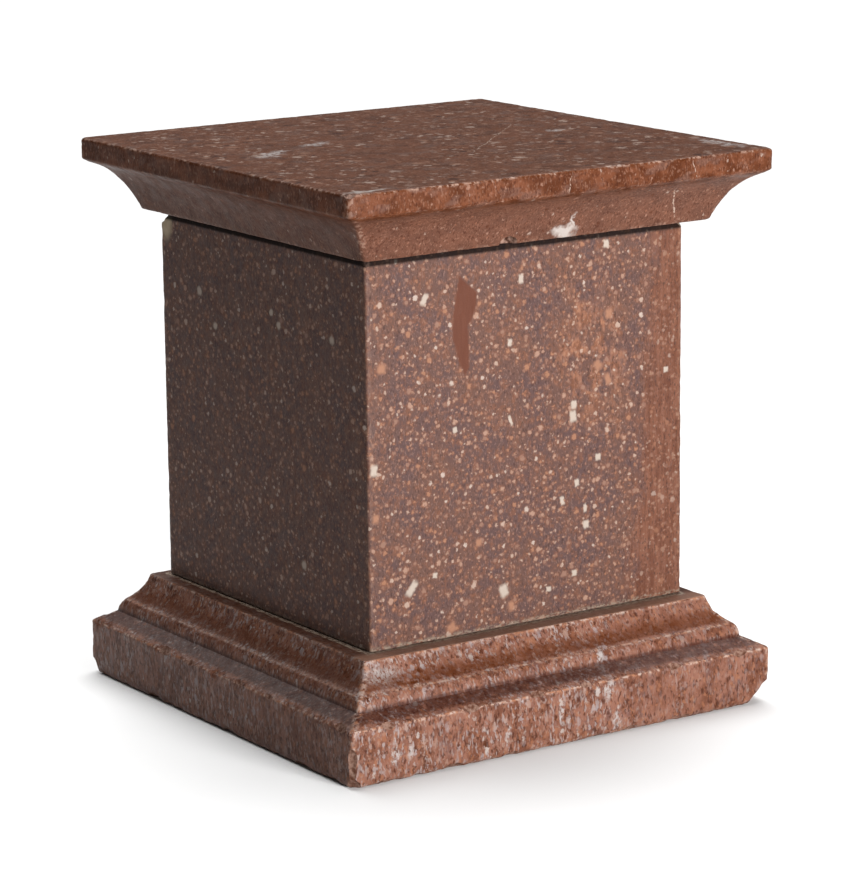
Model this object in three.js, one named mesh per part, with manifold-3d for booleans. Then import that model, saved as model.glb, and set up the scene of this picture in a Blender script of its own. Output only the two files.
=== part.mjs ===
// A small square porphyry plinth of three stones laid one on another: a moulded base,
// a plain die and a cornice cap, with worn arrises and chipped edges.
// Millimetres, +Z up. The origin is on the ground, under the middle of the base.
// The front is the -Y side and the left side is -X.
import * as THREE from 'three';
import { mergeVertices } from 'three/addons/utils/BufferGeometryUtils.js';
import Module from 'manifold-3d';

const wasm = await Module();
wasm.setup();

// The whole
const TOTAL_HEIGHT = 250;
const BED_JOINT = 0.3;
const EDGE_WEAR = 0.7;

// Base: a foot with an upright face, a sloping ledge, a small shoulder and a cavetto.
// An inset is measured in from the foot's face, a height up from the ground.
const BASE_WIDTH = 223;
const BASE_HEIGHT = 48;
const FOOT_BOTTOM_WEAR = { inset: 3, height: 4.5 };
const FOOT_CORNER_HEIGHT = 25.2;
const FOOT_ARRIS_WEAR = { inset: 2.2, drop: 2.7 };
const LEDGE_BACK = { inset: 8.9, height: 30 };
const SHOULDER_CROWN = { inset: 10.3, height: 34.5 };
const SHOULDER_TOP = { inset: 11.9, height: 35.7 };
const BASE_HOLLOW = { inset: 18.2, height: 40.2 };
const BASE_TOP_INSET = 20.2;
const BASE_ARRIS = 1.6;

// Die: a plain block
const DIE_WIDTH = 167.2;
const DIE_ARRIS = 1.3;

// Cap: a cavetto spreading to a plain fascia.
// An inset is measured in from the fascia, a drop down from the top.
const CAP_WIDTH = 219.6;
const CAP_HEIGHT = 32;
const CAP_UNDERSIDE_INSET = 19.2;
const CAP_HOLLOW = { inset: 13.2, drop: 15.4 };
const CAP_SOFFIT = { inset: 3.4, drop: 11.6 };
const FASCIA_HEIGHT = 10.2;
const FASCIA_BOTTOM_WEAR = 1.2;
const FASCIA_TOP_WEAR = 1.9;
const CAP_ARRIS = 1.6;

// How far each upper stone has crept from the base's axes, with its slight turn in degrees
const BASE_PLACE = { x: 0, y: 0, turn: 0 };
const DIE_PLACE = { x: 0.4, y: 1.8, turn: 0.41 };
const CAP_PLACE = { x: 0.8, y: -0.6, turn: 0.36 };

// Fineness of the arrises, the curves and the balls that make the chips
const ARRIS_STEPS = 3;
const CURVE_STEPS = 8;
const CHIP_DETAIL = 2;

const baseHalf = BASE_WIDTH / 2;
const dieHalf = DIE_WIDTH / 2;
const capHalf = CAP_WIDTH / 2;
const dieBottom = BASE_HEIGHT + BED_JOINT;
const capBottom = TOTAL_HEIGHT - CAP_HEIGHT;
const dieTop = capBottom - BED_JOINT;
const fasciaBottom = TOTAL_HEIGHT - FASCIA_HEIGHT;

// Shallow spalls in a row along each side, at the foot's bottom edge and its upper arris
const SPALLS_PER_SIDE = 7;
const FOOT_SPALLS = { height: 0, rise: -1.2, radius: 20, bite: 3 };
const LEDGE_SPALLS = { height: 24.9, rise: 0.9, radius: 13, bite: 1.6 };

// Single chips: where a ball bites, the side that it comes from, its radius and its bite
const BASE_CHIPS = [
  // Bottom corners, the right front one rubbed off most
  { at: [baseHalf, -baseHalf, 0], outward: [1, -1, -1.3], radius: 46, bite: 8.5 },
  { at: [-baseHalf, -baseHalf, 0], outward: [-1, -1, -1.3], radius: 22, bite: 4.5 },
  { at: [-baseHalf, baseHalf, 0], outward: [-1, 1, -1.1], radius: 30, bite: 6 },
  { at: [baseHalf, baseHalf, 0], outward: [1, 1, -1.2], radius: 26, bite: 5 },
  // Knock on the left front corner's upright arris
  { at: [-baseHalf, -baseHalf, 13], outward: [-1, -1, 0], radius: 12, bite: 2.2 },
];
const DIE_CHIPS = [
  // Flake lost from the left face at its back top corner, and a rubbed right front corner
  { at: [-dieHalf, dieHalf - 4, dieTop], outward: [-1, 0.9, 0.9], radius: 17, bite: 3.4 },
  { at: [dieHalf, -dieHalf, dieTop], outward: [1, -1, 1], radius: 12, bite: 2.6 },
];
const CAP_CHIPS = [
  // Notch in the cavetto's lower edge in front
  { at: [-17, CAP_UNDERSIDE_INSET - capHalf, capBottom + 1.2], outward: [0, -1, -0.3], radius: 4, bite: 2.4 },
  // Bruised left front corner of the top, and a worn lower corner of the fascia at the left back
  { at: [-capHalf, -capHalf, TOTAL_HEIGHT], outward: [-1, -1, 2.2], radius: 26, bite: 2.6 },
  { at: [-capHalf, capHalf, fasciaBottom], outward: [-1, 1, -1], radius: 14, bite: 2.4 },
];

// The four corners in turn, counter-clockwise from +X +Y
const CORNERS = [[1, 1], [-1, 1], [-1, -1], [1, -1]];

// Closed geometry with shared vertices, without the flat triangles that meet on the axis
function toSolid(geometry) {
  geometry.deleteAttribute('normal');
  geometry.deleteAttribute('uv');
  const merged = mergeVertices(geometry);
  const index = merged.index.array;
  const triangles = [];
  for (let i = 0; i < index.length; i += 3) {
    const [a, b, c] = index.slice(i, i + 3);
    if (a !== b && b !== c && c !== a) triangles.push(a, b, c);
  }
  return new wasm.Manifold(new wasm.Mesh({
    numProp: 3,
    vertProperties: new Float32Array(merged.attributes.position.array),
    triVerts: new Uint32Array(triangles),
  }));
}

// One point of a square outline with rounded arrises, by its place in the ring
function squareOutline(column, halfWidth, arris) {
  const radius = Math.min(arris, halfWidth);
  const corner = Math.floor(column / (ARRIS_STEPS + 1)) % CORNERS.length;
  const step = column % (ARRIS_STEPS + 1);
  const angle = (corner + step / ARRIS_STEPS) * Math.PI / 2;
  const [signX, signY] = CORNERS[corner];
  return new THREE.Vector2(
    signX * (halfWidth - radius) + radius * Math.cos(angle),
    signY * (halfWidth - radius) + radius * Math.sin(angle),
  );
}

// A profile of half-width against height, run round a square with mitred corners
function squareMoulding(profile, arris) {
  const points = profile.getPoints(CURVE_STEPS);
  const columns = CORNERS.length * (ARRIS_STEPS + 1);
  const geometry = new THREE.LatheGeometry(points, columns);
  const position = geometry.attributes.position;
  for (let column = 0; column <= columns; column += 1) {
    points.forEach((point, row) => {
      const outline = squareOutline(column, point.x, arris);
      position.setXYZ(column * points.length + row, outline.x, outline.y, point.y);
    });
  }
  return toSolid(geometry);
}

// A scalloped chip: a ball that bites into the stone at a point, coming from outside
function chipped(stone, { at, outward, radius, bite }) {
  const ball = new THREE.IcosahedronGeometry(radius, CHIP_DETAIL);
  const direction = new THREE.Vector3(...outward).normalize();
  const centre = new THREE.Vector3(...at).addScaledVector(direction, radius - bite);
  ball.translate(centre.x, centre.y, centre.z);
  return stone.subtract(toSolid(ball));
}

// An uneven but repeatable number from -1 to 1 for the n-th spall of a side
function unevenness(n, side) {
  return Math.sin(2.4 * n + 1.7 * side) * Math.cos(0.9 * n - 2.3 * side);
}

// The places of a row of uneven spalls along one side of the base
function sideSpalls(side, { height, rise, radius, bite }) {
  const [signX, signY] = CORNERS[side];
  const facesX = signX === signY;
  const spacing = BASE_WIDTH / (SPALLS_PER_SIDE + 1);
  const spalls = [];
  for (let n = 1; n <= SPALLS_PER_SIDE; n += 1) {
    const uneven = unevenness(n, side);
    const along = n * spacing - baseHalf + uneven * spacing / 3;
    spalls.push({
      at: facesX ? [signX * baseHalf, along, height] : [along, signY * baseHalf, height],
      outward: facesX ? [signX, 0, rise] : [0, signY, rise],
      radius: radius * (1 + uneven / 3),
      bite: bite * (1 + uneven / 3),
    });
  }
  return spalls;
}

function baseProfile() {
  const profile = new THREE.Path();
  const topHalf = baseHalf - BASE_TOP_INSET;
  const ledgeSlope = (LEDGE_BACK.height - FOOT_CORNER_HEIGHT) / LEDGE_BACK.inset;
  profile.moveTo(0, 0);
  profile.lineTo(baseHalf - FOOT_BOTTOM_WEAR.inset, 0);
  profile.quadraticCurveTo(baseHalf, 0, baseHalf, FOOT_BOTTOM_WEAR.height);
  profile.lineTo(baseHalf, FOOT_CORNER_HEIGHT - FOOT_ARRIS_WEAR.drop);
  profile.quadraticCurveTo(
    baseHalf, FOOT_CORNER_HEIGHT,
    baseHalf - FOOT_ARRIS_WEAR.inset, FOOT_CORNER_HEIGHT + FOOT_ARRIS_WEAR.inset * ledgeSlope,
  );
  profile.lineTo(baseHalf - LEDGE_BACK.inset, LEDGE_BACK.height);
  profile.quadraticCurveTo(
    baseHalf - SHOULDER_CROWN.inset, SHOULDER_CROWN.height,
    baseHalf - SHOULDER_TOP.inset, SHOULDER_TOP.height,
  );
  profile.quadraticCurveTo(
    baseHalf - BASE_HOLLOW.inset, BASE_HOLLOW.height,
    topHalf, BASE_HEIGHT - EDGE_WEAR,
  );
  profile.lineTo(topHalf - EDGE_WEAR, BASE_HEIGHT);
  profile.lineTo(0, BASE_HEIGHT);
  return profile;
}

function dieProfile() {
  const profile = new THREE.Path();
  profile.moveTo(0, dieBottom);
  profile.lineTo(dieHalf - EDGE_WEAR, dieBottom);
  profile.lineTo(dieHalf, dieBottom + EDGE_WEAR);
  profile.lineTo(dieHalf, dieTop - EDGE_WEAR);
  profile.lineTo(dieHalf - EDGE_WEAR, dieTop);
  profile.lineTo(0, dieTop);
  return profile;
}

function capProfile() {
  const profile = new THREE.Path();
  const underHalf = capHalf - CAP_UNDERSIDE_INSET;
  profile.moveTo(0, capBottom);
  profile.lineTo(underHalf - EDGE_WEAR, capBottom);
  profile.lineTo(underHalf, capBottom + EDGE_WEAR);
  profile.quadraticCurveTo(
    capHalf - CAP_HOLLOW.inset, TOTAL_HEIGHT - CAP_HOLLOW.drop,
    capHalf - CAP_SOFFIT.inset, TOTAL_HEIGHT - CAP_SOFFIT.drop,
  );
  profile.quadraticCurveTo(capHalf, fasciaBottom, capHalf, fasciaBottom + FASCIA_BOTTOM_WEAR);
  profile.lineTo(capHalf, TOTAL_HEIGHT - FASCIA_TOP_WEAR);
  profile.quadraticCurveTo(capHalf, TOTAL_HEIGHT, capHalf - FASCIA_TOP_WEAR, TOTAL_HEIGHT);
  profile.lineTo(0, TOTAL_HEIGHT);
  return profile;
}

function mouldedBase() {
  const chips = [...BASE_CHIPS];
  for (const side of CORNERS.keys()) {
    chips.push(...sideSpalls(side, FOOT_SPALLS), ...sideSpalls(side, LEDGE_SPALLS));
  }
  return chips.reduce(chipped, squareMoulding(baseProfile(), BASE_ARRIS));
}

function dieBlock() {
  return DIE_CHIPS.reduce(chipped, squareMoulding(dieProfile(), DIE_ARRIS));
}

function corniceCap() {
  return CAP_CHIPS.reduce(chipped, squareMoulding(capProfile(), CAP_ARRIS));
}

// A named stone with its own finish, set at its place on the one below
function placedStone(name, stone, finish, place) {
  const solid = stone.getMesh();
  const geometry = new THREE.BufferGeometry();
  geometry.setAttribute('position', new THREE.BufferAttribute(new Float32Array(solid.vertProperties), 3));
  geometry.setIndex(new THREE.BufferAttribute(new Uint32Array(solid.triVerts), 1));
  geometry.computeVertexNormals();
  const mesh = new THREE.Mesh(geometry, new THREE.MeshStandardMaterial({ ...finish, metalness: 0 }));
  mesh.name = name;
  mesh.position.set(place.x, place.y, 0);
  mesh.rotation.z = THREE.MathUtils.degToRad(place.turn);
  return mesh;
}

// Polished porphyry: red-brown base and cap, purple-brown die
const BASE_FINISH = { color: 0x9a6c59, roughness: 0.5 };
const DIE_FINISH = { color: 0x8e6c60, roughness: 0.55 };
const CAP_FINISH = { color: 0x87604e, roughness: 0.45 };

const plinth = new THREE.Group();
plinth.add(placedStone('moulded_base', mouldedBase(), BASE_FINISH, BASE_PLACE));
plinth.add(placedStone('die_block', dieBlock(), DIE_FINISH, DIE_PLACE));
plinth.add(placedStone('cornice_cap', corniceCap(), CAP_FINISH, CAP_PLACE));

export default plinth;
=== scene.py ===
"""The looks of a small porphyry plinth: three worn stones, their finishes, a pale floor and studio light."""

import math

import bmesh
import bpy
import numpy as np
from mathutils import Matrix, Vector, noise


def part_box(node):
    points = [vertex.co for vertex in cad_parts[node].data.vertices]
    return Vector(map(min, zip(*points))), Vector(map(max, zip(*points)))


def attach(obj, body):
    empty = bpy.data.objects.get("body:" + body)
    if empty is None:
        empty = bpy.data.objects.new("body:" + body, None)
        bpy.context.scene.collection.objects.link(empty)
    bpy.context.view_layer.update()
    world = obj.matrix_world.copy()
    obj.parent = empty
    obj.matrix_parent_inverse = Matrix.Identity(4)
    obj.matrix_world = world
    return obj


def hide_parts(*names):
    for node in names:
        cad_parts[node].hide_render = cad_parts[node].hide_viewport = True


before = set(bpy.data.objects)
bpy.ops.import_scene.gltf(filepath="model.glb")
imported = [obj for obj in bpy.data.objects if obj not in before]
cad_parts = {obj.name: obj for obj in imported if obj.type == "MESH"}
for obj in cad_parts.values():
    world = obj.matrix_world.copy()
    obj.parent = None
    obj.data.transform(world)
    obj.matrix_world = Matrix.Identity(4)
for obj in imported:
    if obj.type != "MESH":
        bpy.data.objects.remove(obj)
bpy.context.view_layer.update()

# Sizes are in millimetres in each stone's own axes, and become metres when the mesh is made
MM = 0.001

# The whole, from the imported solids
_, base_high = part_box("moulded_base")
die_low, die_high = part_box("die_block")
cap_low, cap_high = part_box("cornice_cap")
BASE_HALF = base_high.x / MM
BASE_HEIGHT = base_high.z / MM
DIE_BOTTOM = die_low.z / MM
DIE_TOP = die_high.z / MM
CAP_BOTTOM = cap_low.z / MM
TOTAL_HEIGHT = cap_high.z / MM
EDGE_WEAR = 0.4

# Base mouldings: an inset is measured in from the foot's face, a height up from the ground
FOOT_BOTTOM_WEAR = (3.0, 4.5)
FOOT_CORNER_HEIGHT = 25.2
FOOT_ARRIS_WEAR = (0.9, 1.1)
LEDGE_BACK = (8.9, 30.0)
SHOULDER_CROWN = (9.8, 34.9)
SHOULDER_TOP = (11.6, 35.9)
BASE_HOLLOW = (18.2, 40.2)
BASE_TOP_INSET = 20.2
BASE_ARRIS = 1.6

# Die: its head is worn back under the cap, where a dark line shows, darkened further by painted shade in the
# die's material
DIE_HALF = 83.6
DIE_ARRIS = 1.3
DIE_HEAD_WEAR = (2.4, 3.8)

# Cap mouldings: an inset is measured in from the fascia, a drop down from the top
CAP_HALF = 110.6
CAP_UNDERSIDE_INSET = 19.2
CAP_HOLLOW = (13.2, 15.4)
CAP_SOFFIT = (3.4, 11.6)
FASCIA_HEIGHT = 10.2
FASCIA_BOTTOM_WEAR = 1.2
FASCIA_TOP_WEAR = 1.9
CAP_ARRIS = 2.0

# How far wear, and the paleness along an arris (worn stone, and on the base's shoulder and top edge partly a
# painted highlight), reach from the arris and from an upright corner
WEAR_REACH = 2.2
PALE_REACH = 0.6
CORNER_WEAR_REACH = 2.0
CORNER_PALE_REACH = 0.8
CORNER_WEAR = 0.7
CREASE = 28

# Where each stone lies: shift in millimetres and turn in degrees
BASE_PLACE = (0.0, 0.0, 0.0)
DIE_PLACE = (0.4, 1.8, 0.41)
CAP_PLACE = (0.8, -0.6, 0.36)

# Mesh fineness, and the insets of the rings that fill a flat top or underside
COLUMN_STEP = 1.4
ROW_STEP = 1.3
FINE_ROW_STEP = 0.6
ARRIS_STEPS = 4
FLAT_INSETS = (1.2, 3.0, 6.5, 13.0, 26.0, 48.0, 70.0)
CORNERS = ((1, 1), (-1, 1), (-1, -1), (1, -1))

# Camera, from the photograph: lens in pixels of an 868 by 883 image
IMAGE_HEIGHT = 883
LENS_PIXELS = 3646.0
SENSOR = 36.0
CAMERA_PLACE = (-0.8916, -1.3315, 0.4714)
CAMERA_YAW = 34.00
CAMERA_PITCH = -12.563
CAMERA_ROLL = -0.612


# Outlines and meshes

def line(start, end, step):
    """Points from start towards end, without end, at most a step apart."""
    count = max(1, math.ceil(math.dist(start, end) / step))
    return [tuple(np.array(start) + (np.array(end) - start) * i / count) for i in range(count)]


def curve(start, control, end, step):
    """Points of a quadratic curve from start towards end, without end."""
    start, control, end = (np.array(p, float) for p in (start, control, end))
    length = math.dist(start, control) + math.dist(control, end)
    count = max(2, math.ceil(length / step))
    points = []
    for i in range(count):
        t = i / count
        points.append(tuple((1 - t) ** 2 * start + 2 * t * (1 - t) * control + t ** 2 * end))
    return points


def base_profile():
    """Half-width against height of the base, with its arrises, their wear and paleness."""
    def at(inset, height):
        return (BASE_HALF - inset, height)

    slope = (LEDGE_BACK[1] - FOOT_CORNER_HEIGHT) / LEDGE_BACK[0]
    foot_corner = at(0, FOOT_CORNER_HEIGHT)
    arris_top = at(FOOT_ARRIS_WEAR[0], FOOT_CORNER_HEIGHT + FOOT_ARRIS_WEAR[0] * slope)
    arris_foot = at(0, FOOT_CORNER_HEIGHT - FOOT_ARRIS_WEAR[1])
    top_edge = at(BASE_TOP_INSET, BASE_HEIGHT - EDGE_WEAR)
    top = at(BASE_TOP_INSET + EDGE_WEAR, BASE_HEIGHT)
    sole = at(FOOT_BOTTOM_WEAR[0], 0)
    face_foot = at(0, FOOT_BOTTOM_WEAR[1])
    points = curve(sole, at(0, 0), face_foot, FINE_ROW_STEP)
    points += line(face_foot, arris_foot, ROW_STEP)
    points += curve(arris_foot, foot_corner, arris_top, FINE_ROW_STEP)
    points += line(arris_top, at(*LEDGE_BACK), FINE_ROW_STEP)
    points += curve(at(*LEDGE_BACK), at(*SHOULDER_CROWN), at(*SHOULDER_TOP), FINE_ROW_STEP)
    points += curve(at(*SHOULDER_TOP), at(*BASE_HOLLOW), top_edge, FINE_ROW_STEP)
    points += line(top_edge, top, FINE_ROW_STEP / 2)
    points.append(top)
    # On the shoulder top and the top edge, the paleness is partly worn stone and partly a painted highlight
    # line
    arrises = [
        (at(1, 1), 1.0, 0.6), (foot_corner, 1.0, 1.6), (at(*SHOULDER_TOP), 0.2, 0.9), (top_edge, 0.3, 1.0),
    ]
    return points, arrises


def die_profile():
    """Half-width against height of the die, with its arrises, their wear and paleness."""
    sole = (DIE_HALF - EDGE_WEAR, DIE_BOTTOM)
    foot = (DIE_HALF, DIE_BOTTOM + EDGE_WEAR)
    head = (DIE_HALF, DIE_TOP - DIE_HEAD_WEAR[1])
    top = (DIE_HALF - DIE_HEAD_WEAR[0], DIE_TOP)
    band = 9.0
    lower = (DIE_HALF, DIE_BOTTOM + band)
    upper = (DIE_HALF, DIE_TOP - band)
    points = line(sole, foot, FINE_ROW_STEP / 2)
    points += line(foot, lower, FINE_ROW_STEP)
    points += line(lower, upper, 2 * ROW_STEP)
    points += line(upper, head, FINE_ROW_STEP)
    points += curve(head, (DIE_HALF, DIE_TOP), top, FINE_ROW_STEP / 2)
    points.append(top)
    return points, [(foot, 0.3, 0.2), (head, 0.3, 0.0)]


def cap_profile():
    """Half-width against height of the cap, with its arrises, their wear and paleness."""
    def at(inset, drop):
        return (CAP_HALF - inset, TOTAL_HEIGHT - drop)

    under = at(CAP_UNDERSIDE_INSET, TOTAL_HEIGHT - CAP_BOTTOM - EDGE_WEAR)
    sole = at(CAP_UNDERSIDE_INSET + EDGE_WEAR, TOTAL_HEIGHT - CAP_BOTTOM)
    fascia_foot = at(0, FASCIA_HEIGHT - FASCIA_BOTTOM_WEAR)
    fascia_head = at(0, FASCIA_TOP_WEAR)
    top = at(FASCIA_TOP_WEAR, 0)
    points = line(sole, under, FINE_ROW_STEP / 2)
    points += curve(under, at(*CAP_HOLLOW), at(*CAP_SOFFIT), ROW_STEP * 0.7)
    points += curve(at(*CAP_SOFFIT), at(0, FASCIA_HEIGHT), fascia_foot, FINE_ROW_STEP)
    points += line(fascia_foot, fascia_head, FINE_ROW_STEP)
    points += curve(fascia_head, at(0, 0), top, FINE_ROW_STEP / 2)
    points.append(top)
    rim = at(FASCIA_TOP_WEAR / 3, FASCIA_TOP_WEAR / 3)
    arrises = [(under, 0.3, 0.4), (at(0.5, FASCIA_HEIGHT), 0.4, 0.5), (rim, 0.4, 1.4)]
    return points, arrises


def ring_columns(half_width):
    """Centre and outward directions of a ring's columns, with each one's place along its side."""
    side_count = math.ceil(2 * half_width / COLUMN_STEP)
    centres, outwards, places = [], [], []
    for number, corner in enumerate(CORNERS):
        for step in range(ARRIS_STEPS + 1):
            angle = (number + step / ARRIS_STEPS) * math.pi / 2
            centres.append(corner)
            outwards.append((math.cos(angle), math.sin(angle)))
            places.append(1.0)
        angle = (number + 1) * math.pi / 2
        outward = np.array((math.cos(angle), math.sin(angle)))
        along = np.array((-outward[1], outward[0]))
        for step in range(1, side_count):
            place = 2 * step / side_count - 1
            centres.append(outward + along * place)
            outwards.append(outward)
            places.append(abs(place))
    return np.array(centres), np.array(outwards), np.array(places)


def noise_at(points, size, seed):
    """Smooth noise from about -1 to 1 at each point, with features of a size."""
    offset = Vector((seed * 17.3, seed * -9.1, seed * 5.7))
    return np.array([noise.noise(Vector(p) / size + offset) for p in points])


def wear_depth(points, edge, seed, nicks):
    """How far each point is worn in: a faint swell all over, and scattered nicks along the edges."""
    depth = 0.07 * (1 + noise_at(points, 40, seed))
    near = edge > 0.03
    close = points[near]
    long_loss = np.clip(noise_at(close, 13, seed + 1) - 0.22, 0, None)
    short_loss = np.clip(noise_at(close, 4.2, seed + 2) - 0.15, 0, None)
    grain = np.clip(noise_at(close, 1.7, seed + 3), 0, None)
    depth[near] += nicks * edge[near] * (1.8 * long_loss + 1.5 * short_loss + 0.5 * grain)
    return depth


def closeness(rows, arrises, reach):
    """How near each row of a profile is to an arris, from 0 to the arris's own strength."""
    found = np.zeros(len(rows))
    for spot, strength in arrises:
        distance = np.linalg.norm(rows - spot, axis=1)
        found = np.maximum(found, strength * np.exp(-(distance / reach) ** 2))
    return found


def worn_stone(name, profile, arrises, arris, place, seed, nicks):
    """A square moulding with rounded corners, worn along its arrises, set in its place."""
    rows = np.array(profile)
    centres, outwards, places = ring_columns(rows[:, 0].max())
    core = rows[:, 0] - arris
    plan = core[:, None, None] * centres + arris * outwards
    heights = np.repeat(rows[:, 1][:, None], len(places), axis=1)
    points = np.dstack((plan, heights))

    tangent = np.gradient(rows, axis=0)
    tangent /= np.linalg.norm(tangent, axis=1)[:, None]
    normals = np.dstack((
        tangent[:, 1][:, None, None] * outwards,
        np.repeat(-tangent[:, 0][:, None], len(places), axis=1),
    ))
    from_corner = (1 - places) * core[:, None]
    worn_rows = closeness(rows, [(spot, wear) for spot, wear, _ in arrises], WEAR_REACH)
    pale_rows = closeness(rows, [(spot, pale) for spot, _, pale in arrises], PALE_REACH)
    worn_corners = CORNER_WEAR * np.exp(-(from_corner / CORNER_WEAR_REACH) ** 2)
    pale_corners = CORNER_WEAR * np.exp(-(from_corner / CORNER_PALE_REACH) ** 2)
    edge = np.maximum(worn_rows[:, None], worn_corners)
    rim = np.maximum(pale_rows[:, None], pale_corners)

    flat = points.reshape(-1, 3)
    depth = wear_depth(flat, edge.ravel(), seed, nicks)
    flat = flat - normals.reshape(-1, 3) * depth[:, None]
    flat[:, 2] = np.clip(flat[:, 2], rows[0, 1], rows[-1, 1])
    return stone_object(name, flat.reshape(points.shape), (rows[0, 1], rows[-1, 1]), rim.ravel(), place)


def ring_faces(first, second, count):
    """Quads between two rings of points, by their first numbers."""
    faces = []
    for column in range(count):
        following = (column + 1) % count
        faces.append((first + column, first + following, second + following, second + column))
    return faces


def stone_object(name, points, levels, rim, place):
    """A closed mesh object from rings of points, filled in flat, with its paleness stored as rim."""
    row_count, column_count, _ = points.shape
    vertices = [tuple(p) for p in points.reshape(-1, 3)]
    faces = []
    for row in range(row_count - 1):
        faces += ring_faces(row * column_count, (row + 1) * column_count, column_count)
    for row, level, upward in ((row_count - 1, levels[1], True), (0, levels[0], False)):
        previous = row * column_count
        reach = np.abs(points[row, :, :2]).max()
        for inset in FLAT_INSETS:
            share = 1 - inset / reach
            first = len(vertices)
            vertices += [(p[0] * share, p[1] * share, level) for p in points[row]]
            pair = (previous, first) if upward else (first, previous)
            faces += ring_faces(*pair, column_count)
            previous = first
        middle = len(vertices)
        vertices.append((0.0, 0.0, level))
        for column in range(column_count):
            following = (column + 1) % column_count
            side = (previous + column, previous + following)
            faces.append((*side, middle) if upward else (*side[::-1], middle))
    mesh = bpy.data.meshes.new(name)
    mesh.from_pydata(vertices, [], faces)
    padded = np.zeros(len(vertices), np.float32)
    padded[:len(rim)] = rim
    mesh.attributes.new("rim", "FLOAT", "POINT").data.foreach_set("value", padded)
    shift_x, shift_y, turn = place
    mesh.transform(
        Matrix.Scale(MM, 4)
        @ Matrix.Translation((shift_x, shift_y, 0))
        @ Matrix.Rotation(math.radians(turn), 4, "Z")
    )
    piece = bpy.data.objects.new(name, mesh)
    bpy.context.scene.collection.objects.link(piece)
    return piece


def chip_ball(at, outward, radius, bite, seed):
    """A rough ball that bites into a stone at a point, coming from outside. Millimetres in, metres out."""
    mesh = bpy.data.meshes.new("chip_ball")
    ball = bmesh.new()
    bmesh.ops.create_icosphere(ball, subdivisions=5 if radius > 20 else 4, radius=radius)
    centre = Vector(at) + Vector(outward).normalized() * (radius - bite)
    lump, grit = 0.30 * bite, 0.16 * bite
    for vertex in ball.verts:
        point = vertex.co.copy()
        bump = lump * noise.noise(point / (2.2 * bite) + Vector((seed, 2.1 * seed, 0.7)))
        bump += grit * noise.noise(point / (0.7 * bite) + Vector((seed, 0.3, seed)))
        vertex.co = (centre + point * (1 + bump / radius)) * MM
    for face in ball.faces:
        face.material_index = 1
    ball.to_mesh(mesh)
    ball.free()
    piece = bpy.data.objects.new("chip_ball", mesh)
    bpy.context.scene.collection.objects.link(piece)
    return piece


def cut_chips(piece, chips):
    """Cuts each chip out of a stone, and keeps the result as its mesh."""
    balls = []
    for number, chip in enumerate(chips):
        ball = chip_ball(*chip, seed=number + 1.5)
        for material in piece.data.materials:
            ball.data.materials.append(material)
        cut = piece.modifiers.new("chip", "BOOLEAN")
        cut.operation = "DIFFERENCE"
        cut.solver = "MANIFOLD"
        cut.object = ball
        balls.append(ball)
    bpy.context.view_layer.update()
    scene_now = bpy.context.evaluated_depsgraph_get()
    chipped = bpy.data.meshes.new_from_object(piece.evaluated_get(scene_now))
    chipped.name = piece.name
    piece.modifiers.clear()
    piece.data = chipped
    for ball in balls:
        bpy.data.objects.remove(ball)


def smooth_faces(piece, crease):
    """Smooth shading that keeps edges sharper than a crease angle."""
    piece.data.polygons.foreach_set("use_smooth", [True] * len(piece.data.polygons))
    piece.data.set_sharp_from_angle(angle=math.radians(crease))


# Chips: the place bitten, the side the bite comes from, the ball's radius and the bite

def spalls(half, count, height, rise, radius, bite):
    """Shallow losses along an edge on all four sides."""
    found = []
    spacing = 2 * half / count
    for side in range(4):
        turn = Matrix.Rotation(side * math.pi / 2, 3, "Z")
        for number in range(count):
            uneven = math.sin(2.4 * number + 1.7 * side) * math.cos(0.9 * number - 2.3 * side)
            along = (number + 0.5) * spacing - half + uneven * spacing / 3
            place = turn @ Vector((along, -half, height))
            outward = turn @ Vector((0, -1, rise))
            size = 1 + uneven / 3
            found.append((tuple(place), tuple(outward), radius * size, bite * size))
    return found


def base_chips():
    """Chips of the base: bottom corners, the left front arris, and two rows of spalls."""
    half = BASE_HALF
    chips = [
        ((half, -half, 0), (1, -1, -1.3), 46, 8.5),
        ((-half, -half, 0), (-1, -1, -1.3), 22, 4.5),
        ((-half, half, 0), (-1, 1, -1.1), 30, 6),
        ((half, half, 0), (1, 1, -1.2), 26, 5),
        ((-half, -half, 13), (-1, -1, 0), 12, 2.2),
        ((-half, -half, 7), (-1, -0.8, -0.2), 7, 1.8),
    ]
    chips += spalls(half, 7, 0, -1.2, 14, 1.9)
    chips += spalls(half, 6, FOOT_CORNER_HEIGHT, 0.9, 8, 1.25)
    return chips


def die_chips():
    """Chips of the die: a flake at the left back top corner and a rubbed right front one."""
    half = DIE_HALF
    shift = Vector((DIE_PLACE[0], DIE_PLACE[1], 0))
    return [
        (tuple(Vector((-half, half - 4, DIE_TOP)) + shift), (-1, 0.9, 0.9), 17, 3.4),
        (tuple(Vector((half, -half, DIE_TOP)) + shift), (1, -1, 1), 12, 2.6),
    ]


def cap_chips():
    """Chips of the cap: the notch in its lower edge, and two corners on the left."""
    half = CAP_HALF
    under = half - CAP_UNDERSIDE_INSET
    return [
        ((-17, -under, CAP_BOTTOM + 0.3), (0, -1, -0.5), 4.5, 3.0),
        ((-half, -half, TOTAL_HEIGHT), (-1, -1, 2.2), 26, 2.2),
        ((-half, half, TOTAL_HEIGHT - FASCIA_HEIGHT), (-1, 1, -1), 14, 2.8),
        ((-half, half, TOTAL_HEIGHT), (-1, 1, 0.8), 16, 2.2),
    ]


# Materials

# How brightly the front is lit, and the white sheen that lies over it there
FRONT_LIGHT = 3.5
FRONT_SHEEN = 0.018


def tone(red, green, blue):
    """The stone's own colour, from a display colour as seen on the lit front."""
    def linear(value):
        value /= 255
        return value / 12.92 if value <= 0.04045 else ((value + 0.055) / 1.055) ** 2.4

    return tuple(max(linear(v) - FRONT_SHEEN, 0.002) / FRONT_LIGHT for v in (red, green, blue)) + (1.0,)


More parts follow.
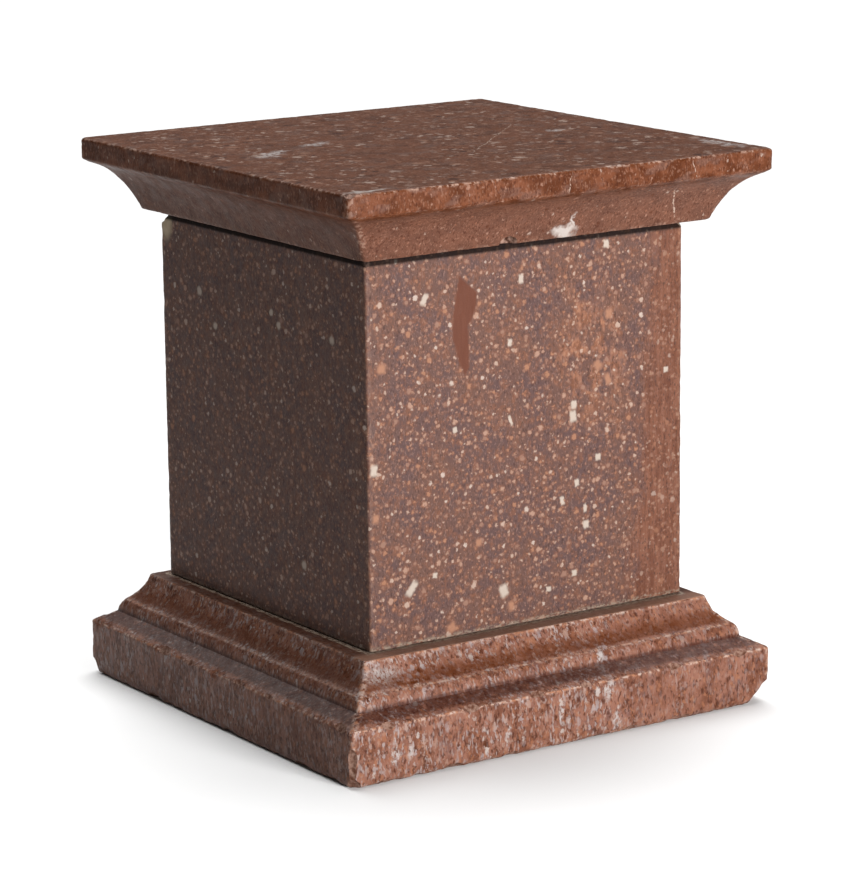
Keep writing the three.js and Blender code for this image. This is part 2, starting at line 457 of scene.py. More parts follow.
class Stone:
    """A stone's material, with short ways to add its nodes. Places are in millimetres."""

    def __init__(self, name):
        self.material = bpy.data.materials.new(name)
        self.material.use_nodes = True
        self.tree = self.material.node_tree
        self.shader = self.tree.nodes["Principled BSDF"]
        where = self.add("ShaderNodeTexCoord").outputs["Object"]
        self.place = self.vector("SCALE", where, scale=1 / MM)
        parts = self.add("ShaderNodeSeparateXYZ", {0: self.place})
        self.across, self.deep, self.up = parts.outputs

    def add(self, kind, values=None, **settings):
        """A new node of a kind, with its settings and the values of its sockets."""
        node = self.tree.nodes.new(kind)
        for name, value in settings.items():
            setattr(node, name, value)
        for socket, value in (values or {}).items():
            self.feed(node.inputs[socket], value)
        return node

    def feed(self, socket, value):
        """Gives a socket a link or a fixed value."""
        if isinstance(value, bpy.types.NodeSocket):
            self.tree.links.new(value, socket)
        else:
            socket.default_value = value

    def math(self, operation, first, second=0.0):
        return self.add("ShaderNodeMath", {0: first, 1: second}, operation=operation).outputs[0]

    def product(self, *factors):
        found = factors[0]
        for factor in factors[1:]:
            found = self.math("MULTIPLY", found, factor)
        return found

    def largest(self, masks):
        found = masks[0]
        for mask in masks[1:]:
            found = self.math("MAXIMUM", found, mask)
        return found

    def without(self, mask, share=1.0):
        """What is left outside a mask."""
        return self.math("SUBTRACT", 1.0, self.math("MULTIPLY", mask, share))

    def vector(self, operation, first, second=(0, 0, 0), scale=1.0):
        values = {0: first, 1: second, 3: scale}
        return self.add("ShaderNodeVectorMath", values, operation=operation).outputs[0]

    def span(self, value, low, high, to_low=0.0, to_high=1.0):
        """A smooth step of a value between two limits."""
        values = {"Value": value, "From Min": low, "From Max": high, "To Min": to_low, "To Max": to_high}
        return self.add("ShaderNodeMapRange", values, interpolation_type="SMOOTHSTEP").outputs[0]

    def stretched(self, sizes, turn=(0, 0, 0), place=None):
        """The place turned, then divided by a size along each axis."""
        values = {"Vector": place or self.place, "Rotation": turn}
        turned = self.add("ShaderNodeVectorRotate", values, rotation_type="EULER_XYZ").outputs[0]
        return self.vector("DIVIDE", turned, sizes)

    def noise(self, sizes, detail=2.0, roughness=0.5, turn=(0, 0, 0)):
        """Smooth noise around 0.5, with features of a size along each axis."""
        values = {
            "Vector": self.stretched(sizes, turn), "Scale": 1.0, "Detail": detail, "Roughness": roughness,
        }
        return self.add("ShaderNodeTexNoise", values).outputs["Fac"]

    def flecks(self, sizes, low, high, turn=(0, 0, 0), detail=1.5, roughness=0.55):
        """Ragged flecks where noise is high."""
        return self.span(self.noise(sizes, detail, roughness, turn), low, high)

    def wandering(self, amount, size):
        """The place, shaken a little, for uneven outlines."""
        values = {"Vector": self.stretched((size,) * 3), "Scale": 1.0, "Detail": 2.0}
        shake = self.add("ShaderNodeTexNoise", values).outputs["Color"]
        centred = self.vector("SUBTRACT", shake, (0.5, 0.5, 0.5))
        return self.vector("ADD", self.place, self.vector("SCALE", centred, scale=4 * amount))

    def mix(self, factor, first, second):
        """The first colour turned into the second by a factor."""
        node = self.add("ShaderNodeMix", data_type="RGBA", clamp_factor=True)
        for socket, value in ((0, factor), (6, first), (7, second)):
            self.feed(node.inputs[socket], value)
        return node.outputs[2]

    def attribute(self, name):
        return self.add("ShaderNodeAttribute", attribute_name=name).outputs["Fac"]

    def crystals(self, cell, share, radii, turn, soft, place, tall=1.0):
        """Crystals scattered through the stone: their mask, a wider halo and a random number for each."""
        vector = self.stretched((cell, cell, tall * cell), turn, place)
        cells = self.add("ShaderNodeTexVoronoi", {"Vector": vector, "Scale": 1.0, "Randomness": 1.0})
        chance = self.add("ShaderNodeSeparateColor", {0: cells.outputs["Color"]})
        present = self.math("GREATER_THAN", chance.outputs[0], 1 - share)
        limits = {
            "Value": chance.outputs[0], "From Min": 1 - share, "From Max": 1.0,
            "To Min": radii[0] / cell, "To Max": radii[1] / cell,
        }
        radius = self.add("ShaderNodeMapRange", limits).outputs[0]
        inside = self.math("SUBTRACT", radius, cells.outputs["Distance"])
        blur = soft * radii[0] / cell
        mask = self.product(self.span(inside, -blur, blur), present)
        halo = self.product(self.span(inside, -4 * blur, 0.0), present)
        return mask, halo, chance.outputs[1]

    def spot(self, centre, radii, turn, soft, place, axis="Y"):
        """A mask of one egg-shaped spot, turned in the face that it lies on."""
        moved = self.vector("SUBTRACT", place, centre)
        angles = {"X": (turn, 0, 0), "Y": (0, turn, 0), "Z": (0, 0, turn)}[axis]
        shaped = self.stretched(radii, tuple(math.radians(a) for a in angles), moved)
        length = self.add("ShaderNodeVectorMath", {0: shaped}, operation="LENGTH").outputs["Value"]
        return self.span(length, 1 + soft, 1 - soft)

    def block(self, centre, radii, turn, soft, place):
        """A mask of one block-shaped crystal on the front, turned in that face."""
        moved = self.vector("SUBTRACT", place, centre)
        shaped = self.stretched(radii, (0, math.radians(turn), 0), moved)
        parts = self.add("ShaderNodeSeparateXYZ", {0: self.vector("ABSOLUTE", shaped)})
        return self.product(*(self.span(part, 1 + soft, 1 - soft) for part in parts.outputs))

    def patch(self, outline, soft, place):
        """A mask of one patch on the front, inside the corners of its clockwise outline, across and up."""
        sides = []
        for (x, z), (next_x, next_z) in zip(outline, outline[1:] + outline[:1]):
            inward = Vector((next_z - z, 0, x - next_x)).normalized()
            sides.append(self.span(self.dot(place, (x, 0, z), inward), -soft, soft))
        return self.product(*sides)

    def dot(self, place, start, direction):
        """How far a place lies from a start, along a direction."""
        values = {0: self.vector("SUBTRACT", place, start), 1: tuple(direction)}
        return self.add("ShaderNodeVectorMath", values, operation="DOT_PRODUCT").outputs["Value"]

    def crack(self, start, end, face, width, place):
        """A thin wandering line from start to end, as seen straight on to a face."""
        way = Vector(end) - Vector(start)
        way -= Vector(face) * way.dot(Vector(face))
        length = way.length
        way.normalize()
        along = self.dot(place, start, way)
        aside = self.math("ABSOLUTE", self.dot(place, start, way.cross(Vector(face))))
        ends = self.product(self.span(along, 0, 3), self.span(along, length, length - 3))
        return self.product(self.span(aside, width, width * 0.3), ends)

    def palette(self, value, colours):
        """One of several colours, by a random number."""
        ramp = self.add("ShaderNodeValToRGB", {0: value})
        ramp.color_ramp.interpolation = "CONSTANT"
        elements = ramp.color_ramp.elements
        for number, (start, colour) in enumerate(colours):
            element = elements[number] if number < len(elements) else elements.new(start)
            element.position = start
            element.color = colour
        return ramp.outputs["Color"]

    def finish(self, colour, roughness, shine, height, bump_distance):
        """Sets up the shader and gives the finished material."""
        bump = self.add("ShaderNodeBump", {"Height": height, "Strength": 1.0, "Distance": bump_distance})
        self.feed(self.shader.inputs["Base Color"], colour)
        self.feed(self.shader.inputs["Roughness"], roughness)
        self.feed(self.shader.inputs["Specular IOR Level"], shine)
        self.feed(self.shader.inputs["Normal"], bump.outputs[0])
        return self.material


# Large crystals on the die's front: place across and up, half width, half height and lean in degrees
WHITE_CRYSTALS = (
    (-61, 73, 1.9, 4.0, -38), (-13, 64.5, 2.4, 3.1, 15), (-79.5, 127, 1.9, 2.8, -4), (24.5, 137, 1.9, 2.8, 5),
    (25, 142, 1.7, 2.1, 0), (-38, 139, 1.3, 1.4, 20), (-53, 197, 1.4, 2.9, -28), (-3, 200.5, 1.4, 2.2, 0),
    (38, 117, 1.6, 1.7, 0), (26.5, 107, 1.3, 1.8, 8), (31.5, 87.5, 1.8, 2.0, 5), (31, 95, 0.9, 2.2, 0),
    (18.5, 100, 1.2, 2.2, 12), (42.5, 211, 1.5, 1.8, 0), (-9, 173.5, 1.2, 1.8, -10),
    (75.5, 151.5, 1.4, 1.3, 0),
    (-9, 139.5, 0.8, 2.4, 24), (11, 61.5, 1.5, 1.3, 0), (25, 66.5, 1.5, 1.6, 0), (-49, 77, 1.3, 1.3, 0),
)
ORANGE_CRYSTALS = (
    (-40.5, 52.5, 2.4, 2.3, 20), (-9, 57, 1.9, 2.4, 10), (38, 158, 2.2, 2.4, 40), (43.5, 151, 1.6, 3.0, 20),
    (-75, 170, 2.3, 2.3, 0), (-79, 106, 1.8, 2.0, 0), (44, 180, 2.0, 2.4, 0), (-26, 88, 1.6, 1.8, 0),
)

# Large crystals on the die's left face: place along and up, and radius
LEFT_CRYSTALS = (
    (52, 185, 1.9), (39, 171, 1.6), (-14, 179, 1.7), (-8, 184, 1.5), (-56, 179, 1.8), (-31, 76, 1.9),
)

# The red inclusion on the die's front: the corners of its upper and lower parts, across and up
LENS_OUTLINES = (
    ((-35, 205), (-26, 197.2), (-26.5, 190.8), (-30, 184), (-38.9, 181), (-38.2, 189.3), (-36.6, 199.2)),
    ((-38.4, 187), (-29.7, 186), (-30.2, 173.8), (-29.7, 166), (-32.6, 162), (-36, 168.9), (-39, 180.2)),
)


def die_marks(stone):
    """Masks of the red band at the right, the orange cloud and the red inclusion on the front."""
    lean = stone.math("MULTIPLY", stone.math("SUBTRACT", stone.up, 60), 0.085)
    from_band = stone.math("SUBTRACT", stone.math("SUBTRACT", stone.across, 56), lean)
    uneven = stone.product(stone.math("SUBTRACT", stone.noise((5, 5, 15), 4, 0.65), 0.5), 28)
    band = stone.span(stone.math("ADD", from_band, uneven), -5, 7)
    cloud = stone.spot((36, -83, 163), (17, 14, 28), 12, 0.6, stone.wandering(9, 12))
    cloud = stone.product(cloud, stone.flecks((6, 6, 8), 0.36, 0.6, detail=3))
    lens = stone.largest([stone.patch(outline, 0.7, stone.wandering(0.35, 3)) for outline in LENS_OUTLINES])
    on_front = stone.span(stone.deep, 9 - DIE_HALF, 6 - DIE_HALF)
    return band, cloud, stone.product(lens, on_front)


def die_stone():
    """Purple-brown porphyry with pale crystals, a red inclusion and a red band at the right."""
    stone = Stone("die_porphyry")
    band, cloud, lens = die_marks(stone)
    plain = stone.without(band, 0.5)

    clouds = stone.flecks((14, 14, 18), 0.36, 0.64, detail=3)
    colour = stone.mix(clouds, tone(114, 88, 85), tone(127, 93, 82))
    rusty = stone.flecks((3, 3, 4), 0.52, 0.66, detail=3)
    colour = stone.mix(stone.product(rusty, 0.6), colour, tone(150, 101, 79))
    mottle = stone.flecks((3, 3, 6), 0.4, 0.6, (0.2, 0.1, 0.4), 3)
    orange = stone.mix(mottle, tone(146, 96, 72), tone(202, 142, 112))
    colour = stone.mix(stone.product(cloud, 0.9), colour, orange)
    streaks = stone.flecks((2.2, 2.2, 22), 0.36, 0.64, detail=4)
    red_brown = stone.mix(streaks, tone(126, 77, 57), tone(156, 104, 82))
    colour = stone.mix(stone.product(band, 0.85), colour, red_brown)
    dark = stone.flecks((0.9, 0.9, 1.8), 0.47, 0.30)
    colour = stone.mix(stone.product(dark, 0.65), colour, tone(84, 60, 56))
    pale = stone.flecks((0.7, 0.7, 1.4), 0.53, 0.70, (0.1, 0.1, 0.1))
    colour = stone.mix(stone.product(pale, plain, 0.5), colour, tone(176, 140, 126))

    ragged = stone.wandering(0.5, 1.3)
    buff = (
        (0.0, tone(182, 140, 122)), (0.35, tone(210, 168, 146)), (0.6, tone(200, 144, 114)),
        (0.76, tone(224, 194, 176)), (0.93, tone(234, 214, 200)),
    )
    layers = (
        (2.3, 0.9, (0.3, 0.75), (1.1, 0.5, 0.2), 0.65),
        (3.4, 0.85, (0.45, 1.0), (0.3, 1.2, 0.6), 0.75),
        (5.6, 0.7, (0.6, 1.4), (0.8, 0.1, 1.3), 0.8),
    )
    for cell, share, radii, turn, strength in layers:
        mask, halo, pick = stone.crystals(cell, share, radii, turn, 0.6, ragged)
        colour = stone.mix(stone.product(halo, plain, 0.4), colour, tone(156, 104, 80))
        colour = stone.mix(stone.product(mask, plain, strength), colour, stone.palette(pick, buff))

    red = stone.mix(stone.noise((2, 2, 14), 3), tone(116, 70, 54), tone(134, 84, 66))
    colour = stone.mix(lens, colour, red)
    rough_place = stone.wandering(0.35, 1.6)
    large_crystals = (
        (ORANGE_CRYSTALS, tone(198, 144, 116), 0.6),
        (WHITE_CRYSTALS, tone(226, 208, 192), 0.4),
    )
    for crystals, shade, soft in large_crystals:
        masks = [
            stone.block((x, 1.4 - DIE_HALF, z), (0.85 * wide, 3, 0.85 * high), lean, soft, rough_place)
            for x, z, wide, high, lean in crystals
        ]
        colour = stone.mix(stone.product(stone.largest(masks), 0.95), colour, shade)

    left_marks = [
        stone.spot((-DIE_HALF, y, z), (3, size, size), 0, 0.4, rough_place, "X")
        for y, z, size in LEFT_CRYSTALS
    ]
    colour = stone.mix(stone.product(stone.largest(left_marks), 0.9), colour, tone(228, 208, 190))
    flake = stone.spot((-DIE_HALF, 80, 213), (6, 5, 8), 0, 0.4, rough_place, "X")
    colour = stone.mix(stone.product(flake, 0.85), colour, tone(250, 226, 188))

    near_base = stone.span(stone.up, DIE_BOTTOM + 2.6, DIE_BOTTOM + 0.8)
    dust = stone.product(near_base, stone.flecks((1.6, 1.6, 0.8), 0.42, 0.58, detail=3))
    colour = stone.mix(stone.product(dust, 0.85), colour, tone(176, 156, 138))
    # Painted shade: a dark band at the die's head, where the cap's overhang shades it, with a little dirt in
    # the joint; the band is also made matt
    shade_under_cap = stone.span(stone.up, DIE_TOP - 4.8, DIE_TOP - 3.2)
    colour = stone.mix(stone.product(shade_under_cap, 0.9), colour, tone(34, 24, 22))
    worn = stone.product(stone.attribute("rim"), stone.flecks((2, 2, 2), 0.45, 0.6, detail=3))
    colour = stone.mix(stone.product(worn, 0.25), colour, tone(206, 168, 150))
    honed = stone.span(stone.noise((3, 3, 3), 3), 0.3, 0.7, 0.45, 0.62)
    roughness = stone.math("MAXIMUM", honed, shade_under_cap)
    return stone.finish(colour, roughness, 0.1, stone.noise((1.1, 1.1, 1.4), 3), 0.00012)


# Fine scratches on the cap's top: turn, length, width and how rare they are
TOP_SCRATCHES = ((0.6, 34, 1.0, 0.70), (0.2, 40, 0.9, 0.70), (-0.5, 36, 1.0, 0.71), (1.3, 30, 0.8, 0.72))

# White smudges on the cap's top: place across and back, half length and width, turn in degrees and softness
TOP_SMUDGES = (
    (-71, 8, 11, 3.6, -35, 0.7), (-39, 23, 8, 3.4, -30, 0.7), (71, -6, 5, 2.4, -30, 0.7),
    (103, -84, 3.5, 13, 0, 0.8),
)

# Pale cracks in the cap: start, end, the face that they are seen on, and half width
CAP_CRACKS = (
    ((64, -103, 236), (73, -91, 218), (0, -1, 0), 0.55),
    ((3, -110, 250), (1, -110, 240), (0, -1, 0), 0.4),
    ((67, -110, 249), (70, -110, 240), (0, -1, 0), 0.35),
    ((67, 23, 250), (-1, -43, 250), (0, 0, 1), 0.35),
)


def top_marks(stone, on_top):
    """Masks of the fine scratches and of the white smudges on the cap's top."""
    lines = []
    for turn, length, width, limit in TOP_SCRATCHES:
        lines.append(stone.flecks((length, width, 60), limit, limit + 0.06, (0, 0, turn), 2.5))
    scratches = stone.product(stone.largest(lines), on_top)
    smudge_place = stone.wandering(3.5, 5)
    smudges = stone.largest([
        stone.spot((x, y, TOTAL_HEIGHT), (long, wide, 5), turn, soft, smudge_place, "Z")
        for x, y, long, wide, turn, soft in TOP_SMUDGES
    ])
    return scratches, stone.product(smudges, stone.flecks((2, 2, 2), 0.36, 0.56, detail=3))


def cap_cracks(stone):
    """Mask of the pale cracks through the cap."""
    place = stone.wandering(0.8, 5)
    return stone.largest([
        stone.crack(start, end, face, width, place)
        for start, end, face, width in CAP_CRACKS
    ])


def cap_stone():
    """Dark red-brown polished stone, with scratches, smudges, cracks and pale worn arrises."""
    stone = Stone("cap_porphyry")
    on_top = stone.span(stone.up, TOTAL_HEIGHT - 1.2, TOTAL_HEIGHT - 0.3)
    in_hollow = stone.span(stone.up, TOTAL_HEIGHT - FASCIA_HEIGHT - 1, TOTAL_HEIGHT - FASCIA_HEIGHT - 3)
    clouds = stone.flecks((9, 9, 7), 0.36, 0.64, detail=4)
    colour = stone.mix(clouds, tone(110, 65, 46), tone(144, 90, 66))
    colour = stone.mix(stone.product(on_top, 0.65), colour, tone(147, 90, 61))
    stains = stone.flecks((11, 11, 11), 0.5, 0.64, (0.5, 0.3, 0.2), 4)
    colour = stone.mix(stone.product(stains, on_top, 0.55), colour, tone(100, 58, 40))
    purple = stone.flecks((13, 13, 6), 0.52, 0.66, (0.4, 0.2, 0.6), 3)
    rosy = stone.math("MAXIMUM", stone.product(purple, 0.6), stone.product(in_hollow, 0.5))
    colour = stone.mix(rosy, colour, tone(138, 104, 92))
    dark = stone.flecks((0.9, 0.9, 2.2), 0.47, 0.31)
    colour = stone.mix(stone.product(dark, 0.6), colour, tone(84, 48, 34))
    pale = stone.flecks((0.8, 0.8, 1.7), 0.53, 0.70, (0.1, 0.1, 0.1))
    colour = stone.mix(stone.product(pale, 0.42), colour, tone(188, 142, 120))
    buff = (
        (0.0, tone(104, 60, 42)), (0.25, tone(176, 122, 98)), (0.6, tone(196, 152, 132)),
        (0.88, tone(218, 190, 174)),
    )
    ragged = stone.wandering(0.5, 1.3)
    for cell, share, radii, turn in ((2.4, 0.6, (0.25, 0.65), 0.4), (5.0, 0.5, (0.4, 1.0), 1.0)):
        mask, _, pick = stone.crystals(cell, share, radii, (0.1, 0.1, turn), 0.6, ragged, 1.4)
        colour = stone.mix(stone.product(mask, 0.65), colour, stone.palette(pick, buff))
    patchy = stone.span(stone.noise((20, 20, 20), 3), 0.35, 0.62, 0.35, 1.0)
    bright = ((0.0, tone(84, 48, 34)), (0.28, tone(190, 142, 118)), (0.65, tone(228, 198, 182)))
    for cell, share, radii, strength in ((4.0, 0.8, (0.6, 1.6), 0.9), (8.0, 0.7, (1.0, 2.8), 0.8)):
        mask, _, pick = stone.crystals(cell, share, radii, (0.3, 0.2, 0.7), 0.8, stone.wandering(1.1, 1.8))
        colour = stone.mix(stone.product(mask, on_top, patchy, strength), colour, stone.palette(pick, bright))

    scratches, smudges = top_marks(stone, on_top)
    colour = stone.mix(stone.product(scratches, 0.7), colour, tone(216, 182, 164))
    colour = stone.mix(stone.product(smudges, 0.95), colour, tone(240, 228, 224))
    white_place = stone.wandering(2.6, 4)
    whites = stone.largest([
        stone.spot((-97, -106.5, 250), (9, 1.8, 3), 0, 0.6, white_place, "Z"),
        stone.spot((12, -92, 221), (5.5, 7, 3.4), 0, 0.5, white_place),
        stone.spot((15, -93, 225), (1.2, 7, 3.4), 25, 0.6, white_place),
    ])
    colour = stone.mix(stone.product(whites, 0.85), colour, tone(238, 226, 218))
    broken = stone.product(cap_cracks(stone), stone.flecks((1.5, 1.5, 1.5), 0.38, 0.55))
    colour = stone.mix(stone.product(broken, 0.85), colour, tone(226, 196, 178))

    clusters = stone.flecks((16, 16, 16), 0.36, 0.58)
    nicked = stone.product(stone.flecks((2.4, 2.4, 2.4), 0.48, 0.60, detail=3), clusters)
    colour = stone.mix(stone.product(stone.attribute("rim"), nicked, 0.75), colour, tone(222, 182, 162))
    roughness = stone.span(stone.noise((6, 6, 6), 4, 0.6), 0.3, 0.7, 0.36, 0.54)
    return stone.finish(colour, roughness, 0.05, stone.noise((1.3, 1.3, 1.5), 3), 0.0001)


# White veins on the base's front: place across and up, half width, half height and lean in degrees
BASE_VEINS = (
    (22, 20, 2.2, 5.5, -10), (24, 33, 1.6, 5.0, -20), (-82, 13, 1.3, 4.5, 0), (-90, 12, 1.2, 5.5, 4),
    (-4, 14, 1.0, 5.0, 8), (-32, 12, 1.0, 5.0, 0), (26, 8, 1.2, 5.0, -8),
)


def base_patches(stone):
    """Mask of the larger white patches and veins on the front of the base, and of a painted highlight at the
    front left corner of its hollow.
    """
    place = stone.wandering(1.8, 3.5)
    masks = [
        stone.spot((x, -106, z), (wide, 12, high), lean, 0.6, place)
        for x, z, wide, high, lean in BASE_VEINS
    ]
    # A painted highlight: the glint on the hollow at the front left corner
    masks.append(stone.spot((-85, -94, 41), (7, 9, 3.5), 0, 0.7, place))
    return stone.product(stone.largest(masks), stone.flecks((1.0, 1.0, 1.6), 0.38, 0.54, detail=3))


def crumbs(stone):
    """Mask of the sandy crumbs that lie on the base along the die's foot."""
    offset_x = stone.math("ABSOLUTE", stone.math("SUBTRACT", stone.across, DIE_PLACE[0]))
    offset_y = stone.math("ABSOLUTE", stone.math("SUBTRACT", stone.deep, DIE_PLACE[1]))
    from_die = stone.math("SUBTRACT", stone.math("MAXIMUM", offset_x, offset_y), DIE_HALF)
    uneven = stone.product(stone.math("SUBTRACT", stone.noise((5, 5, 5), 3), 0.5), 3)
    near = stone.span(stone.math("ADD", from_die, uneven), 2.4, 1.2)
    return stone.product(near, stone.flecks((1.1, 1.1, 1.1), 0.40, 0.54, detail=3))


def base_stone():
    """Red-brown polished stone, crowded with upright flecks: lilac, pale, orange and dark brown."""
    stone = Stone("base_porphyry")
    calm = stone.span(stone.math("ADD", stone.across, stone.product(stone.deep, -0.2)), 46, 74)
    patchy = stone.span(stone.noise((16, 16, 30), 3), 0.36, 0.6, 0.45, 1.0)
    lively = stone.product(stone.without(calm, 0.6), patchy)
    clouds = stone.flecks((6, 6, 10), 0.36, 0.62, detail=4)
    colour = stone.mix(clouds, tone(140, 91, 72), tone(174, 122, 103))
    purple = stone.flecks((8, 8, 12), 0.55, 0.68, (0.3, 0.1, 0.7), 3)
    colour = stone.mix(stone.product(purple, 0.6), colour, tone(138, 104, 98))
    dark = stone.flecks((1.3, 1.3, 2.6), 0.48, 0.33)
    colour = stone.mix(stone.product(dark, 0.75), colour, tone(88, 50, 34))
    amber = stone.flecks((2.0, 2.0, 3.4), 0.55, 0.66, (0.2, 0.3, 1.0), 2.5, 0.6)
    colour = stone.mix(stone.product(amber, 0.7), colour, tone(188, 128, 98))
    layers = (
        ((0.8, 0.8, 1.6), 0.54, 0.68, 0.0, 0.6, tone(200, 164, 148)),
        ((1.6, 1.6, 4.6), 0.55, 0.64, 0.4, 0.75, tone(206, 188, 184)),
        ((3.0, 3.0, 7.0), 0.60, 0.68, 0.9, 0.6, tone(200, 184, 182)),
    )
    for sizes, low, high, turn, strength, shade in layers:
        streaks = stone.flecks(sizes, low, high, (0.05, 0.08, turn), 2.5, 0.62)
        colour = stone.mix(stone.product(streaks, lively, strength), colour, shade)
    flecks = (
        (0.0, tone(96, 56, 40)), (0.2, tone(190, 128, 98)), (0.48, tone(204, 166, 150)),
        (0.7, tone(200, 184, 184)), (0.9, tone(228, 214, 206)),
    )
    ragged = stone.wandering(0.6, 1.4)
    sizes = ((2.1, 0.9, (0.3, 0.8), 0.3), (3.8, 0.8, (0.5, 1.25), 0.9))
    for cell, share, radii, turn in sizes:
        mask, _, pick = stone.crystals(cell, share, radii, (0.05, 0.08, turn), 0.6, ragged, 1.8)
        colour = stone.mix(stone.product(mask, lively, 0.75), colour, stone.palette(pick, flecks))
    colour = stone.mix(stone.product(base_patches(stone), 0.8), colour, tone(226, 216, 212))

    # Painted shade: darker on the sloping ledge, partly dirt there, and in the lower hollow above the
    # shoulder
    above_foot = stone.span(stone.up, FOOT_CORNER_HEIGHT + 0.8, FOOT_CORNER_HEIGHT + 2.2)
    below_shoulder = stone.span(stone.up, LEDGE_BACK[1] + 2.0, LEDGE_BACK[1] + 0.4)
    ledge_shade_and_dirt = stone.product(above_foot, below_shoulder)
    above_shoulder = stone.span(stone.up, SHOULDER_TOP[1] + 0.5, SHOULDER_TOP[1] + 1.3)
    below_top = stone.span(stone.up, BASE_HEIGHT - 4, BASE_HEIGHT - 9)
    in_hollow = stone.product(above_shoulder, below_top)
    uneven = stone.flecks((3, 3, 3), 0.2, 0.5, detail=3)
    colour = stone.mix(stone.product(ledge_shade_and_dirt, uneven, 0.7), colour, tone(78, 44, 28))
    colour = stone.mix(stone.product(in_hollow, uneven, 0.65), colour, tone(116, 64, 38))
    on_top = stone.span(stone.up, BASE_HEIGHT - 0.3, BASE_HEIGHT - 0.1)
    # Painted light and shade on the flat top: lighter on the front, as if lit, and darker on the other sides,
    # as if in shade
    front_painted_light = stone.span(stone.deep, -78, -86)
    colour = stone.mix(stone.product(on_top, front_painted_light, 0.6), colour, tone(220, 168, 142))
    colour = stone.mix(stone.product(on_top, stone.without(front_painted_light), 0.6), colour, tone(96, 62, 48))
    colour = stone.mix(stone.product(on_top, crumbs(stone)), colour, tone(226, 202, 180))
    # Pale, crumbly arrises: worn stone, and along the shoulder and top edge partly a painted highlight line
    nicked = stone.flecks((1.8, 1.8, 1.8), 0.44, 0.56, detail=3)
    crumb = stone.mix(stone.flecks((3, 3, 3), 0.4, 0.6), tone(212, 150, 118), tone(236, 206, 190))
    colour = stone.mix(stone.product(stone.attribute("rim"), nicked, 0.9), colour, crumb)
    roughness = stone.span(stone.noise((5, 5, 9), 4, 0.6), 0.3, 0.7, 0.3, 0.48)
    return stone.finish(colour, roughness, 0.09, stone.noise((1.4, 1.4, 2.2), 3), 0.00012)


def broken_stone(name, light, dark):
    """Old fracture: paler, grainy and matt."""
    stone = Stone(name)
    colour = stone.mix(stone.flecks((2.0, 2.0, 2.0), 0.35, 0.65, detail=4), dark, light)
    return stone.finish(colour, 0.75, 0.1, stone.noise((0.9, 0.9, 0.9), 4, 0.7), 0.0005)


# The three stones

def dress(piece, node, materials, chips):
    """Gives a stone its materials, chips and shading, and puts it in place of its solid."""
    for material in materials:
        piece.data.materials.append(material)
    cut_chips(piece, chips)
    smooth_faces(piece, CREASE)
    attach(piece, "root")
    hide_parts(node)


base = worn_stone("base_stone", *base_profile(), BASE_ARRIS, BASE_PLACE, 3, 0.9)
base_break = broken_stone("base_break", tone(196, 156, 138), tone(128, 84, 66))
dress(base, "moulded_base", (base_stone(), base_break), base_chips())

die = worn_stone("die_stone", *die_profile(), DIE_ARRIS, DIE_PLACE, 8, 0.6)
die_break = broken_stone("die_break", tone(206, 188, 164), tone(156, 132, 110))
dress(die, "die_block", (die_stone(), die_break), die_chips())

cap = worn_stone("cap_stone", *cap_profile(), CAP_ARRIS, CAP_PLACE, 13, 0.7)
# The dark of the cap's breaks is painted shade, for the shadow inside the notch in its lower edge
cap_break_with_painted_shade = broken_stone("cap_break_with_painted_shade", tone(200, 160, 142), tone(90, 58, 46))
dress(cap, "cornice_cap", (cap_stone(), cap_break_with_painted_shade), cap_chips())


# Floor, light and camera

def pale_floor():
    """A wide, plain, pale floor."""
    half = 12.0
    corners = [(-half, -half, 0), (half, -half, 0), (half, half, 0), (-half, half, 0)]
    mesh = bpy.data.meshes.new("floor")
    mesh.from_pydata(corners, [], [(0, 1, 2, 3)])
    floor = bpy.data.objects.new("floor", mesh)
    bpy.context.scene.collection.objects.link(floor)
    material = bpy.data.materials.new("pale_floor")
    material.use_nodes = True
    shader = material.node_tree.nodes["Principled BSDF"]
    shader.inputs["Base Color"].default_value = (0.6, 0.6, 0.6, 1)
    shader.inputs["Roughness"].default_value = 0.9
    shader.inputs["Specular IOR Level"].default_value = 0.1
    mesh.materials.append(material)


def aim(light, place, target):
    """Puts a light in a place, facing a target."""
    light.location = place
    light.rotation_euler = (Vector(target) - Vector(place)).to_track_quat("-Z", "Y").to_euler()
    bpy.context.scene.collection.objects.link(light)


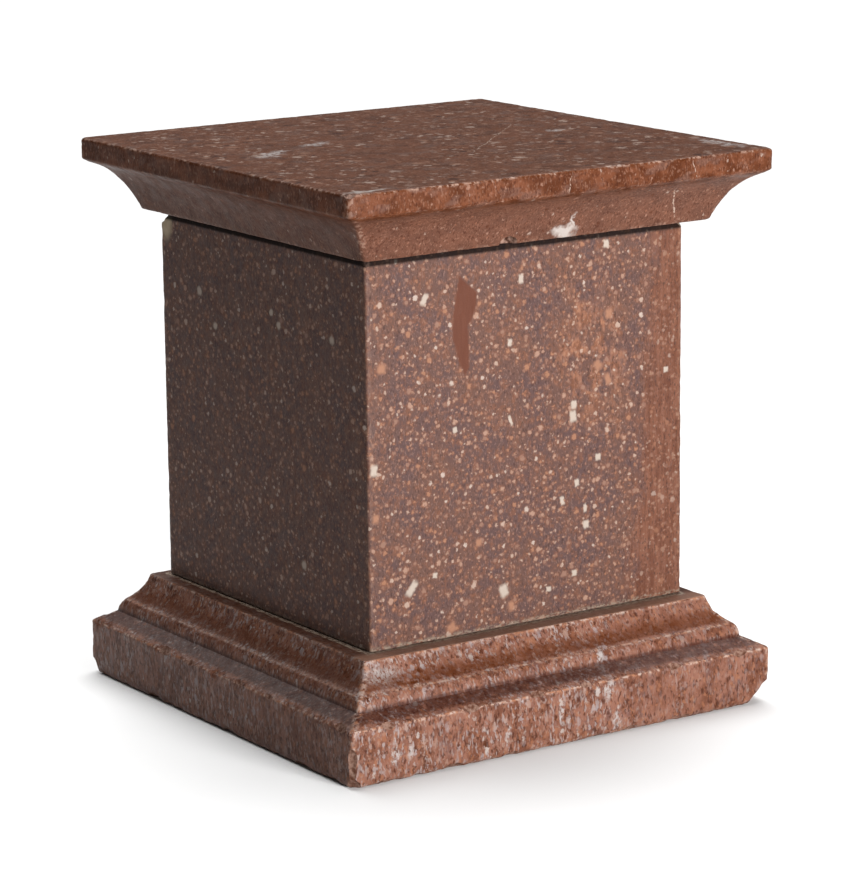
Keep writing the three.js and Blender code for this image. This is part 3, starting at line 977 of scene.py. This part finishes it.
def softbox(name, size, power, bearing, rise, distance):
    """A softbox aimed at the plinth, at a bearing from the front and a rise, both in degrees."""
    light = bpy.data.lights.new(name, "AREA")
    light.shape = "RECTANGLE"
    light.size, light.size_y = size
    light.energy = power
    bearing, rise, middle = math.radians(bearing), math.radians(rise), 0.13
    place = (
        distance * math.cos(rise) * math.sin(bearing),
        -distance * math.cos(rise) * math.cos(bearing),
        middle + distance * math.sin(rise),
    )
    aim(bpy.data.objects.new(name, light), place, (0, 0, middle))


def studio_light():
    """A wide soft light overhead, tilted to the back and a little right, and a low softbox in front."""
    overhead = bpy.data.lights.new("overhead", "SUN")
    overhead.energy = 5.6
    overhead.angle = math.radians(64)
    aim(bpy.data.objects.new("overhead", overhead), (0.24, 0.6, 1.5), (0, 0, 0))
    softbox("front", (0.45, 0.5), 60, 3, 6, 1.5)

    world = bpy.data.worlds.new("studio")
    world.use_nodes = True
    background = world.node_tree.nodes["Background"]
    background.inputs["Color"].default_value = (1, 1, 1, 1)
    background.inputs["Strength"].default_value = 0.1
    bpy.context.scene.world = world


def photo_camera():
    """A long lens at the photograph's place, looking down a little."""
    yaw, pitch, roll = (math.radians(a) for a in (CAMERA_YAW, CAMERA_PITCH, CAMERA_ROLL))
    forward = Vector((math.sin(yaw) * math.cos(pitch), math.cos(yaw) * math.cos(pitch), math.sin(pitch)))
    level_right = Vector((math.cos(yaw), -math.sin(yaw), 0))
    level_up = level_right.cross(forward)
    right = level_right * math.cos(roll) + level_up * math.sin(roll)
    up = level_up * math.cos(roll) - level_right * math.sin(roll)
    data = bpy.data.cameras.new("camera")
    data.sensor_width = SENSOR
    data.lens = LENS_PIXELS / IMAGE_HEIGHT * SENSOR
    camera = bpy.data.objects.new("camera", data)
    turn = Matrix((right, up, -forward)).transposed()
    camera.matrix_world = Matrix.Translation(CAMERA_PLACE) @ turn.to_4x4()
    bpy.context.scene.collection.objects.link(camera)
    bpy.context.scene.camera = camera


pale_floor()
studio_light()
photo_camera()
bpy.context.scene.view_settings.view_transform = "Standard"
